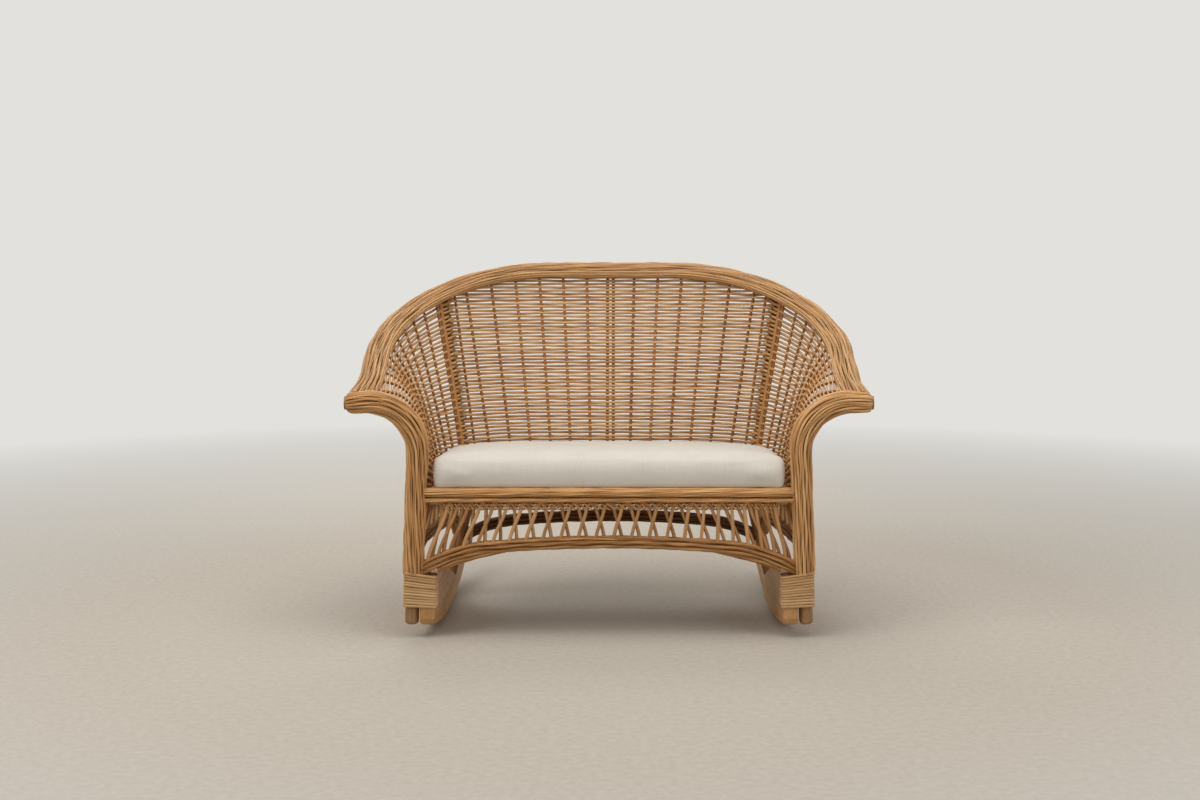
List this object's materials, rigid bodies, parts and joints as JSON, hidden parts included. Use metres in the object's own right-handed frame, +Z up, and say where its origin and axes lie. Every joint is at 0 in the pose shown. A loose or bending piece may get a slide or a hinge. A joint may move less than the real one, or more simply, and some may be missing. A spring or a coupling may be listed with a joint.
{
  "type": "wicker rocking settee",
  "caption": "Wicker rocking settee: pole frame on curved runners, woven back and flared arms under a rolled rim, crossed-reed apron, loose lift-off seat cushion.",
  "frame": {"origin": "on the floor, midway between the two runners, where they touch the floor at rest", "axes": "+X to the right seen from the front, the front faces -Y, +Z up"},
  "size_m": [1.3, 0.8075, 0.907],
  "materials": {
    "wicker": "satin",
    "rattan_pole": "satin",
    "dark_rattan": "satin",
    "binding_cane": "satin",
    "slat_wood": "matt",
    "cushion_linen": "matt",
    "cushion_filling": "matt",
    "steel": "satin"
  },
  "bodies": {
    "settee": {"back_weave_left": "wicker", "back_weave_right": "wicker", "centre_back_stakes": "wicker", "frame_screws": "steel", "front_arch": "wicker", "front_lattice": "wicker", "front_ledger": "slat_wood", "front_seat_rail": "wicker", "left_arm_roll": "wicker", "left_back_post": "rattan_pole", "left_foot_binding": "binding_cane", "left_front_post": "rattan_pole", "left_lattice": "wicker", "left_rear_leg": "rattan_pole", "left_rocker": "rattan_pole", "left_side_arch": "wicker", "left_wing_weave": "wicker", "rear_arch": "dark_rattan", "rear_arch_strut": "dark_rattan", "rear_stretcher": "dark_rattan", "right_arm_roll": "wicker", "right_back_post": "rattan_pole", "right_foot_binding": "binding_cane", "right_front_post": "rattan_pole", "right_lattice": "wicker", "right_rear_leg": "rattan_pole", "right_rocker": "rattan_pole", "right_side_arch": "wicker", "right_wing_weave": "wicker", "rim_pole": "rattan_pole", "rim_roll": "wicker", "seat_hoop": "wicker", "seat_slat_1": "slat_wood", "seat_slat_2": "slat_wood", "seat_slat_3": "slat_wood", "seat_slat_4": "slat_wood", "seat_slat_5": "slat_wood", "seat_slat_6": "slat_wood", "seat_slat_7": "slat_wood", "seat_slat_8": "slat_wood", "seat_slat_9": "slat_wood", "slat_nails": "steel"},
    "cushion": {"cushion_cover": "cushion_linen", "cushion_core": "cushion_filling"}
  },
  "joints": [
    {"name": "cushion_lift", "type": "slide", "parent": "settee", "child": "cushion", "axis": [0, 0, 1], "range_m": [0, 0.6]}
  ]
}
